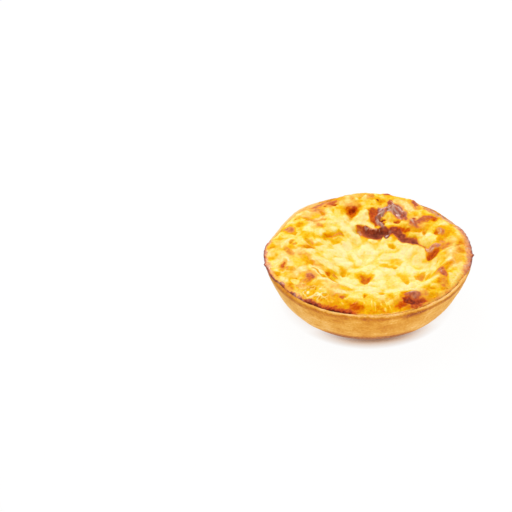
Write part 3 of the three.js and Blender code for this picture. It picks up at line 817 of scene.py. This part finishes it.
def sunken(points):
    """How far each point of the skin's grid lies in a dip or on a slope, from 0 to 1, for painting shade
    there.
    """
    x, y, z = np.moveaxis(points.reshape(SKIN_CELLS + 1, SKIN_CELLS + 1, 3), 2, 0)
    slope = np.zeros(z.shape)
    for axis in (0, 1):
        steps = [np.gradient(c, axis=axis) for c in (x, y, z)]
        slope += (steps[2] / np.maximum(np.hypot(steps[0], steps[1]), 0.02)) ** 2
    level = z
    for _ in range(LEVELLING_PASSES):
        wide = np.pad(level, 1, mode="edge")
        wide = 0.25 * wide[:-2] + 0.5 * wide[1:-1] + 0.25 * wide[2:]
        level = 0.25 * wide[:, :-2] + 0.5 * wide[:, 1:-1] + 0.25 * wide[:, 2:]
    return (0.6 * smooth(level - z, 0, 0.8) + 0.4 * smooth(np.sqrt(slope), 0.3, 1)).ravel()


def glints(x, y):
    """Painted highlights: bright broken lines along the wrinkles, from 0 to 1."""
    wx, wy = wander(x, y, 0.5, 1.8, 81)
    share = np.zeros(x.shape)
    for strength, half_width, points in GLINTS:
        signed, _, _ = beside(wx, wy, spline(points, GLINT_SAMPLES))
        share = np.maximum(share, strength * smooth(np.abs(signed) / half_width, 1.2, 0.3))
    return share * smooth(lumps(x, y, 0, 1.5, 83), -0.6, 0)


def plain_look(x, y, noise):
    """Browning and film of the skin between its marks: pale middle, golden ring, amber near rim, with painted
    shade in the valleys and a painted highlight along the near crest.
    """
    mottle, _, fine = noise
    radius, heading = polar(x, y)
    inside = skin_edge(heading)[0] - radius
    # Painted shade: sunk and between mark the valleys between clumps and grains, which are browned further
    # below
    sunk = smooth(1 - swellings(x, y, *CLUMPS), 0.3, 1) * smooth(lumps(x, y, 0, 11, 13), -0.5, 0.4)
    between = smooth(1 - swellings(x, y, *GRAINS), 0.5, 1)
    middle = 0.02 + 0.25 * sunk + 0.08 * between * (1 + mottle) + 0.08 * mottle
    ring = 0.1 + 0.24 * smooth(mottle, -0.3, 0.6) + 0.15 * sunk + 0.08 * between + 0.06 * fine
    ring_share = on_ring(radius, heading)
    browning = blend(middle, ring, ring_share)
    film = ring_share * 0.5 * smooth(lumps(x, y, 0, 9, 71) - 0.8 * mottle, -0.4, 0.6)
    # Painted highlight: the near crest is made paler where it catches the light
    signed, _, _ = beside(x, y, spline(CREST_HIGHLIGHT, CREST_SAMPLES))
    crest = smooth(np.abs(signed) / CREST_HIGHLIGHT_WIDTH, 1.3, 0.2)
    browning = blend(browning, CREST_HIGHLIGHT_LEVEL + 0.04 * mottle, 0.85 * crest)
    near = smooth(-np.sin(heading), 0.7, 0.95)
    at_rim = near * smooth(inside, 14, 6)
    browning = blend(browning, NEAR_RIM_LEVEL + 0.12 * mottle, 0.9 * at_rim)
    near_half = smooth(-np.sin(heading), 0, 0.3)
    hem = near_half * smooth(inside, 3.5, 1)
    browning = np.maximum(browning, HEM_LEVEL * hem)
    film = np.maximum(film, 0.4 * hem * (1 - near)) * (1 - at_rim)
    at_edge = near_half * smooth(inside, 0.9, 0.4)
    browning = blend(browning, blend(EDGE_LEVEL, NEAR_EDGE_LEVEL, near), 0.8 * at_edge)
    film = blend(film, 0.6, at_edge)
    glassy = bubble_patch(x, y)
    squiggles = bubble_relief(x, y)
    browning = blend(browning, GLASSY_LEVEL + 0.16 * mottle, 0.8 * glassy)
    # Painted highlights: the bubbles' squiggles and the strokes are made paler, over their real relief and
    # gloss
    browning -= 0.26 * squiggles + 0.18 * strokes(x, y)
    film = blend(film, 0.5 * squiggles, glassy)
    browning += FRECKLE * ring_share * smooth(lumps(x, y, 0, 0.9, 16), 0.75, 0.92)
    return browning, film, np.zeros(x.shape)


def marks_and_streaks(x, y, grit):
    """Level, film, distance and width of the core of each mark, and then of each streak."""
    for mark in MARKS:
        level, height, hide = mark[:3]
        core = BLISTER_CORE if height >= 0 else HOLLOW_CORE
        yield level, hide, mark_distance(x, y, mark) + 0.22 * grit, core
    for level, half_width, hide, points in STREAKS:
        signed, _, _ = beside(x, y, spline(points, STREAK_SAMPLES))
        yield level, hide, np.abs(signed) / half_width + 0.16 * grit, STREAK_CORE


def marked_look(x, y, look, noise):
    """The look with each mark and streak browned in: a golden halo round a darker core."""
    browning, film, leather = look
    _, grit, fine = noise
    for level, hide, away, core in marks_and_streaks(x, y, grit):
        halo = darken(browning, min(level, HALO_LEVEL), smooth(away, 1.6, 0.95))
        browning = np.maximum(halo, darken(browning, level + 0.09 * fine, smooth(away, 1.2, core)))
        inside = smooth(away, 1.05, 0.5)
        film = blend(film, hide * (1 + 0.4 * fine), inside)
        leather = np.maximum(leather, max(hide - 0.7, 0) / 0.25 * inside)
    return browning, film, leather


def flap_look(x, y, look, noise):
    """The look with the hollows under the flaps scorched and the tops of the flaps left pale."""
    browning, film, leather = look
    mottle, grit, _ = noise
    for points, _, (start, end, width, pale) in FLAPS:
        signed, share, _ = beside(x, y, spline(points, FOLD_SAMPLES))
        ripe = smooth(share + 0.03 * grit, 0.28, 0.48)
        level = blend(start + 0.12 * smooth(signed, 0.7, 0.1), end, ripe) + 0.08 * grit
        along = smooth(share, 0.2, 0.3) * smooth(1 - share, 0, 0.06) * smooth(signed, -0.6, -0.1)
        reach = width * blend(0.2, 1, smooth(share, 0.1, 0.36))
        deep = along * smooth((signed + 0.5 * grit) / reach, 1.5, 0.75)
        glow = along * smooth((signed + 0.5 * grit) / reach, 2, 1)
        browning = darken(darken(browning, np.minimum(level, GLOW_LEVEL), glow), level, deep)
        film = blend(film, blend(0.35, 0.55, ripe), deep * (leather < 0.5))
        top = smooth(signed, -0.3, -0.8) * smooth(signed, -4, -2) * smooth(pale - share, -0.04, 0.02)
        top = top * smooth(share, 0.1, 0.2)
        browning = blend(browning, np.minimum(browning, FLAP_TOP_LEVEL + 0.05 * mottle), top)
    return browning, film, leather


def rim_look(x, y, look, noise):
    """The look with the skin caught along the rim, and the thin burnt line at its edge."""
    browning, film, leather = look
    mottle, grit, fine = noise
    radius, heading = polar(x, y)
    inside = skin_edge(heading)[0] - radius
    for middle, half_width, width, level, hide in RIM_STRIPS:
        share = smooth(half_width - degrees_from(heading, middle), 0, RIM_STRIP_FADE)
        caught = share * smooth(inside + 1.1 * grit + 1.2 * mottle, 1.6 * width, 0.5 * width)
        level = level + 0.14 * fine + 0.12 * smooth(inside + 0.3 * grit, 1.6, 0.4)
        browning = darken(browning, level, caught)
        film = blend(film, hide, caught)
        leather = np.maximum(leather, 0.4 * caught * (hide > 0.5))
    for start, end in BURNT_EDGES:
        away = degrees_from(heading, (start + end) / 2)
        line = smooth((end - start) / 2 - away, 0, BURNT_EDGE_FADE) * smooth(inside + 0.3 * grit, 0.8, 0.2)
        browning = darken(browning, BURNT_LEVEL, line)
        film = blend(film, 0.5, line)
    return browning, film, leather


def skin_look(x, y):
    """How far the skin has browned, from 0 for pale custard to 1 for burnt black, how much milky film has
    dried on it, and how far that film has set to shiny leather."""
    mottle = layered(x, y, 0, MOTTLE)
    grit = layered(x, y, 0, GRIT)
    noise = (mottle, grit, 0.6 * lumps(x, y, 0, 0.8, 17) + 0.4 * grit)
    wx = x + layered(x, y, 0, OUTLINE_SHIFT_X)
    wy = y + layered(x, y, 0, OUTLINE_SHIFT_Y)
    look = plain_look(x, y, noise)
    look = marked_look(wx, wy, look, noise)
    look = flap_look(x, y, look, noise)
    browning, film, leather = rim_look(x, y, look, noise)
    for level, _, *oval in PALE_LUMPS:
        share = smooth(in_oval(wx, wy, *oval), 1.15, 0.7)
        browning = blend(browning, level + 0.05 * mottle, share)
        film = film * (1 - share)
        leather = leather * (1 - share)
    return np.clip(browning, 0, 1), np.clip(film, 0, 1), leather


def points_of(piece):
    co = np.empty(len(piece.data.vertices) * 3)
    piece.data.vertices.foreach_get("co", co)
    return co.reshape(-1, 3) / MM


def set_points(piece, points):
    piece.data.vertices.foreach_set("co", (points * MM).ravel())
    piece.data.update()


def set_attribute(piece, name, values):
    attribute = piece.data.attributes.new(name, "FLOAT", "POINT")
    attribute.data.foreach_set("value", values.astype(np.float32))


def case_section():
    """Radius and height of the case's rings, up outside, over the rim and down inside."""
    outside = wall_section(0, 0, 0, WALL_TOP, WALL_RINGS)
    over = []
    for step in range(1, RIM_RINGS):
        turn = math.pi * step / RIM_RINGS
        radius = RIM_RADIUS + RIM_THICKNESS / 2 * (math.cos(turn) - 1)
        over.append((radius, WALL_TOP + RIM_ROUNDING * math.sin(turn)))
    return outside + over + inner_section(0, INSIDE_RINGS)


def pressed_dough(x, y, z):
    """The case's points with the lumps of its dough, the wave of its rim and the crumb on it."""
    radius, heading = polar(x, y)
    floor = FLOOR_THICKNESS + FLAT_FLOOR_MARGIN
    rise = (np.maximum(z - floor, 0) / (CASE_HEIGHT - floor)) ** 2
    sideways = smooth(radius, FLAT_RADIUS, CORNER_RADIUS)
    sideways = sideways * np.where(z < FLOOR_THICKNESS - 0.1, smooth(z, 0, FOOT_ROUNDING), 1)
    stretch = blend(1, rim_stretch(heading), rise) + sideways * layered(x, y, z, DOUGH) / RIM_RADIUS
    crumb = smooth(z, WALL_TOP - CRUMB_DEPTH, CASE_HEIGHT) * layered(x, y, z, RIM_CRUMB)
    return np.stack([x * stretch, y * stretch, z + rise * rim_wave(heading) + crumb], 1)


def toast_and_foot_shade(x, y, z):
    """How far the crust has toasted, from 0 to 1: most in a band under the rim, with a painted shadow
    darkening the near foot.
    """
    radius, heading = polar(x, y)
    below = CASE_HEIGHT - z
    inward = RIM_RADIUS - radius
    ragged = layered(x, y, z, RAGGED)
    front = smooth(-np.sin(heading), 0.75, 0.97)
    band = smooth(below + 0.6 * lumps(x, y, z, 5, 38), BAND_DEPTH, BAND_FULL) * (1 + 0.4 * ragged)
    lip = smooth(inward + 0.25 * ragged, -0.15, 0.35) * smooth(inward, 2, 1.6) * smooth(below, 1.6, 0.6)
    pale_lip = blend(LIP_PALING, NEAR_LIP_PALING, smooth(degrees_from(heading, NEAR_LIP_HEADING), 75, 40))
    toast = WALL_TOAST + FRONT_TOAST * front + blend(BAND_TOAST, FRONT_BAND_TOAST, front) * band
    toast += 0.1 * lumps(x, y, z, 12, 39) - pale_lip * lip
    # Painted shadow at the foot of the wall's front
    toast += FOOT_SHADE * front * smooth(z, FOOT_SHADE_HEIGHT, FOOT_SHADE_HEIGHT / 2)
    toast += RIGHT_BAND_TOAST * smooth(degrees_from(heading, RIGHT_BAND_HEADING), 30, 14) * band * (1 - lip)
    toast -= FAR_RIM_PALING * smooth(degrees_from(heading, FAR_RIM_HEADING), 34, 16) * smooth(below, 3, 1)
    return np.clip(toast, 0, 1)


def shortcrust_case():
    """The case, drawn up ring by ring from its base, over the rim and down inside."""
    section = case_section()
    bpy.ops.object.select_all(action="DESELECT")
    bpy.ops.mesh.primitive_circle_add(vertices=CASE_SPOKES, radius=section[0][0] * MM, fill_type="NGON")
    piece = bpy.context.object
    piece.name = "shortcrust_case"
    bpy.ops.object.mode_set(mode="EDIT")
    bpy.ops.mesh.select_all(action="SELECT")
    for (radius, height), (next_radius, next_height) in zip(section[:-1], section[1:]):
        rise = (0, 0, (next_height - height) * MM)
        bpy.ops.mesh.extrude_region_move(TRANSFORM_OT_translate={"value": rise})
        grow = next_radius / radius
        bpy.ops.transform.resize(value=(grow, grow, 1), center_override=(0, 0, 0))
    bpy.ops.mesh.select_all(action="SELECT")
    bpy.ops.mesh.normals_make_consistent(inside=False)
    bpy.ops.object.mode_set(mode="OBJECT")
    x, y, z = points_of(piece).T
    set_points(piece, pressed_dough(x, y, z))
    set_attribute(piece, "toast", toast_and_foot_shade(x, y, z))
    bpy.ops.object.shade_smooth()
    return piece


def hidden_rings(heading):
    """Radius and height of the filling's rings that the case hides, from the skin's edge down."""
    edge, level = skin_edge(heading)
    stretch = rim_stretch(heading)
    rings = [(edge, level), (FILLING_RADIUS * stretch, level)]
    for radius, height in inner_section(FILLING_GAP, SIDE_RINGS):
        rise = (max(height - FLOOR_THICKNESS, 0) / (CASE_HEIGHT - FLOOR_THICKNESS)) ** 2
        rings.append((radius * blend(1, stretch, rise), height + rise * rim_wave(heading)))
    return rings


def rice_custard():
    """The filling: a skin with its relief, and its side and underside, which the case hides."""
    bpy.ops.object.select_all(action="DESELECT")
    bpy.ops.mesh.primitive_grid_add(x_subdivisions=SKIN_CELLS, y_subdivisions=SKIN_CELLS, size=2 * MM)
    piece = bpy.context.object
    piece.name = "rice_custard"
    u, v, _ = points_of(piece).T
    disc_x = u * np.sqrt(1 - v * v / 2)
    disc_y = v * np.sqrt(1 - u * u / 2)
    edge, _ = skin_edge(np.arctan2(disc_y, disc_x))
    x = disc_x * edge
    y = disc_y * edge
    points = skin_points(x, y)
    browning, film, leather = skin_look(x, y)
    # Painted shade: the skin is browned further in its dips and on its slopes
    browning += DIP_PAINTED_SHADE * sunken(points) * smooth(browning, 0.45, 0.2)
    # Painted highlights: pale colour on the crests of leathery wrinkles and along the glint lines
    wrinkles = 0.7 * leather * np.clip(creases(x, y), 0, 1) ** 2
    set_attribute(piece, "browning", browning)
    set_attribute(piece, "film", film)
    set_attribute(piece, "leather", leather)
    set_attribute(piece, "glint", np.maximum(wrinkles, glints(x, y)))
    set_attribute(piece, "bubbles", np.maximum(bubble_relief(x, y), 0.6 * strokes(x, y)))
    set_points(piece, points)
    bpy.ops.object.mode_set(mode="EDIT")
    bpy.ops.mesh.select_all(action="SELECT")
    bpy.ops.mesh.region_to_loop()
    for ring in range(len(hidden_rings(np.zeros(1)))):
        bpy.ops.mesh.extrude_region_move()
        bpy.ops.object.mode_set(mode="OBJECT")
        points = points_of(piece)
        chosen = np.empty(len(points), bool)
        piece.data.vertices.foreach_get("select", chosen)
        heading = np.arctan2(points[chosen, 1], points[chosen, 0])
        radius, height = hidden_rings(heading)[ring]
        points[chosen] = np.stack([radius * np.cos(heading), radius * np.sin(heading), height], 1)
        set_points(piece, points)
        bpy.ops.object.mode_set(mode="EDIT")
    bpy.ops.mesh.edge_face_add()
    bpy.ops.mesh.select_all(action="SELECT")
    bpy.ops.mesh.normals_make_consistent(inside=False)
    bpy.ops.object.mode_set(mode="OBJECT")
    bpy.ops.object.shade_smooth()
    return piece


def linear(colour):
    """The linear colour of an sRGB hex value."""
    channels = [int(colour[start:start + 2], 16) / 255 for start in (1, 3, 5)]
    return [c / 12.92 if c <= 0.04045 else ((c + 0.055) / 1.055) ** 2.4 for c in channels] + [1]


def wire(material, node, values=None, links=None):
    """Sets a node's sockets, some to values and some to what other nodes give."""
    for socket, value in (values or {}).items():
        node.inputs[socket].default_value = value
    for socket, source in (links or {}).items():
        material.node_tree.links.new(source, node.inputs[socket])


def add_node(material, kind, settings=None, values=None, links=None):
    """A shader node with its settings, its socket values and the sockets that feed it."""
    node = material.node_tree.nodes.new("ShaderNode" + kind)
    for name, value in (settings or {}).items():
        setattr(node, name, value)
    wire(material, node, values, links)
    return node


def set_stops(ramp, stops):
    """Gives a colour ramp its stops, each a place and a hex colour or a grey."""
    elements = ramp.color_ramp.elements
    while len(elements) < len(stops):
        elements.new(1)
    for element, (place, colour) in zip(elements, stops):
        element.position = place
        element.color = linear(colour) if isinstance(colour, str) else (colour, colour, colour, 1)


def new_material(name):
    """A material, its shader, and the function that adds nodes to it."""
    material = bpy.data.materials.new(name)
    material.use_nodes = True
    return material, material.node_tree.nodes["Principled BSDF"], partial(add_node, material)


def custard_skin():
    """Baked rice custard: egg and milk set to a satin skin, cream through amber to black, and shiny where
    it is leathery, with highlights painted along its wrinkles."""
    material, shader, add = new_material("baked_custard_skin")
    place = add("TexCoord").outputs["Object"]
    browned, film, leather, glint, bubbles = [
        add("Attribute", {"attribute_name": name}).outputs["Fac"]
        for name in ("browning", "film", "leather", "glint", "bubbles")
    ]
    mottle, pores = [
        add("TexNoise", {}, {"Scale": 1 / (size * MM), "Detail": detail}, {"Vector": place}).outputs[0]
        for size, detail in ((SKIN_MOTTLE, 6), (SKIN_PORES, 4))
    ]
    shift = add("Math", {"operation": "MULTIPLY_ADD"}, {1: 0.28, 2: -0.14}, {0: mottle})
    level = add("Math", {"operation": "ADD"}, {}, {0: browned, 1: shift.outputs[0]})
    egg = add("ValToRGB", links={"Fac": level.outputs[0]})
    set_stops(egg, [(stop, colour) for stop, colour, _ in SKIN_COLOURS])
    milk = add("ValToRGB", links={"Fac": level.outputs[0]})
    set_stops(milk, [(stop, colour) for stop, _, colour in SKIN_COLOURS])
    skin = add("Mix", {"data_type": "RGBA"}, {}, {0: film, 6: egg.outputs[0], 7: milk.outputs[0]})
    # Painted highlights mixed into the skin's colour
    skin = add("Mix", {"data_type": "RGBA"}, {7: linear(GLINT)}, {0: glint, 6: skin.outputs[2]})
    shine = add("Math", {"operation": "MULTIPLY_ADD"}, {1: 0.5}, {0: bubbles, 2: leather})
    gloss = add("Math", {"operation": "MULTIPLY_ADD"}, {1: 0.12, 2: 0.01}, {0: film})
    bump = add("Bump", {}, {"Strength": 0.6, "Distance": PORE_DEPTH * MM}, {"Height": pores})
    values = {
        "Roughness": 0.42,
        "Subsurface Weight": 0.45,
        "Subsurface Radius": (1.0, 0.35, 0.1),
        "Subsurface Scale": GLOW_DEPTH * MM,
        "Coat Roughness": 0.2,
        "Coat IOR": 1.6,
    }
    links = {
        "Base Color": skin.outputs[2],
        "Coat Weight": shine.outputs[0],
        "Specular IOR Level": gloss.outputs[0],
        "Normal": bump.outputs["Normal"],
    }
    wire(material, shader, values, links)
    return material


def baked_shortcrust():
    """Shortcrust: flour and butter pressed smooth in a tin and baked matt, toasted brown under the rim."""
    material, shader, add = new_material("baked_shortcrust")
    place = add("TexCoord").outputs["Object"]
    toasted = add("Attribute", {"attribute_name": "toast"}).outputs["Fac"]
    around = add("Mapping", {}, {"Scale": TIN_STREAK_SQUEEZE}, {"Vector": place}).outputs[0]
    grains = [
        (CRUST_CRUMB, 4, place),
        (CRUST_PATCHES, 4, place),
        (TIN_STREAKS, 4, around),
        (FLOUR_GRAIN, 2, place),
    ]
    crumb, patches, streaks, flour = [
        add("TexNoise", {}, {"Scale": 1 / (size * MM), "Detail": detail}, {"Vector": way}).outputs[0]
        for size, detail, way in grains
    ]
    level = toasted
    for noise, strength in ((crumb, 0.6), (patches, 0.6), (streaks, 0.5)):
        drift = add("Math", {"operation": "MULTIPLY_ADD"}, {1: strength, 2: -strength / 2}, {0: noise})
        level = add("Math", {"operation": "ADD"}, {}, {0: level, 1: drift.outputs[0]}).outputs[0]
    colours = add("ValToRGB", links={"Fac": level})
    set_stops(colours, CRUST_COLOURS)
    dusted = add("Math", {"operation": "MULTIPLY_ADD"}, {1: 0.3}, {0: toasted, 2: flour})
    pale = add("ValToRGB", links={"Fac": dusted.outputs[0]})
    set_stops(pale, [(0.78, 0), (1, 0.35)])
    crust = add("Mix", {"data_type": "RGBA"}, {7: linear(FLOUR)}, {0: pale.outputs[0], 6: colours.outputs[0]})
    bump = add("Bump", {}, {"Strength": 0.6, "Distance": CRUMB_BUMP * MM}, {"Height": crumb})
    values = {
        "Roughness": 0.8,
        "Specular IOR Level": 0.15,
        "Sheen Weight": 0.22,
        "Sheen Roughness": 0.5,
        "Sheen Tint": linear("#FFE6BC"),
    }
    wire(material, shader, values, {"Base Color": crust.outputs[2], "Normal": bump.outputs["Normal"]})
    return material


def pale_floor():
    """A white table that glows evenly, with the shadow at the foot of the tart painted into its glow,
    darkest where the tart shelters it and deepest towards the front.
    """
    bpy.ops.object.select_all(action="DESELECT")
    bpy.ops.mesh.primitive_plane_add(size=FLOOR_SIZE * MM)
    floor = bpy.context.object
    floor.name = "floor"
    material, shader, add = new_material("light_table")
    # Painted shadow: the floor's glow is darkened where the tart shelters it
    shelter = add("AmbientOcclusion", {"samples": 8}, {"Distance": CONTACT_SHADOW * MM})
    tint = add("ValToRGB", links={"Fac": shelter.outputs["AO"]})
    set_stops(tint, SHADOW_COLOURS)
    place = add("TexCoord").outputs["Object"]
    forward = add("VectorMath", {"operation": "DOT_PRODUCT"}, {1: SHADOW_WAY}, {0: place})
    deepens = {
        "From Min": SHADOW_START * MM,
        "From Max": SHADOW_FULL * MM,
        "To Min": SIDE_SHADOW,
        "To Max": 1,
    }
    front = add("MapRange", {}, deepens, {"Value": forward.outputs["Value"]})
    darker = {0: front.outputs[0], 7: tint.outputs[0]}
    shadow = add("Mix", {"data_type": "RGBA"}, {6: linear(LIT_FLOOR)}, darker)
    values = {"Emission Strength": 1, "Base Color": linear("#202020"), "Roughness": 0.9}
    wire(material, shader, values, {"Emission Color": shadow.outputs[2]})
    floor.data.materials.append(material)


def softbox(name, place, size, power, colour):
    """A square area light that looks at the tart."""
    light = bpy.data.lights.new(name, "AREA")
    light.size = size * MM
    light.energy = power
    light.color = linear(colour)[:3]
    lamp = bpy.data.objects.new(name, light)
    lamp.location = Vector(place) * MM
    lamp.rotation_euler = (-Vector(place)).to_track_quat("-Z", "Y").to_euler()
    bpy.context.scene.collection.objects.link(lamp)


def studio_light():
    """A white tent with softboxes in it, shown in plain tones."""
    world = bpy.data.worlds.new("white_tent")
    world.use_nodes = True
    wire(world, world.node_tree.nodes["Background"], {"Color": linear("#FFFAF2"), "Strength": 0.6})
    bpy.context.scene.world = world
    bpy.context.scene.view_settings.view_transform = "Standard"
    for box in SOFTBOXES:
        softbox(*box)


def photo_camera():
    """The photograph's long lens, which sees the middle of the base at its own pixel."""
    camera = bpy.data.cameras.new("photo_camera")
    camera.lens = LENS
    camera.sensor_width = SENSOR
    camera.clip_end = CAMERA_REACH * MM
    focal_pixels = LENS / SENSOR * PHOTO_PIXELS
    across, down = [(pixel - PHOTO_PIXELS / 2) / PIXELS_PER_MM for pixel in BASE_PIXEL]
    turn = Matrix.Rotation(math.pi / 2 - ELEVATION, 4, "X")
    place = turn @ Vector((-across, down, focal_pixels / PIXELS_PER_MM)) * MM
    body = bpy.data.objects.new("photo_camera", camera)
    body.matrix_world = Matrix.Translation(place) @ turn
    bpy.context.scene.collection.objects.link(body)
    bpy.context.scene.camera = body


def dress(piece, material, node):
    """Finishes a piece: its material, the body that it rides on, and hiding the solid that it stands for."""
    piece.data.materials.clear()
    piece.data.materials.append(material)
    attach(piece, "root")
    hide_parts(node)


photo_camera()
studio_light()
pale_floor()
dress(shortcrust_case(), baked_shortcrust(), "pastry_case")
dress(rice_custard(), custard_skin(), "rice_filling")
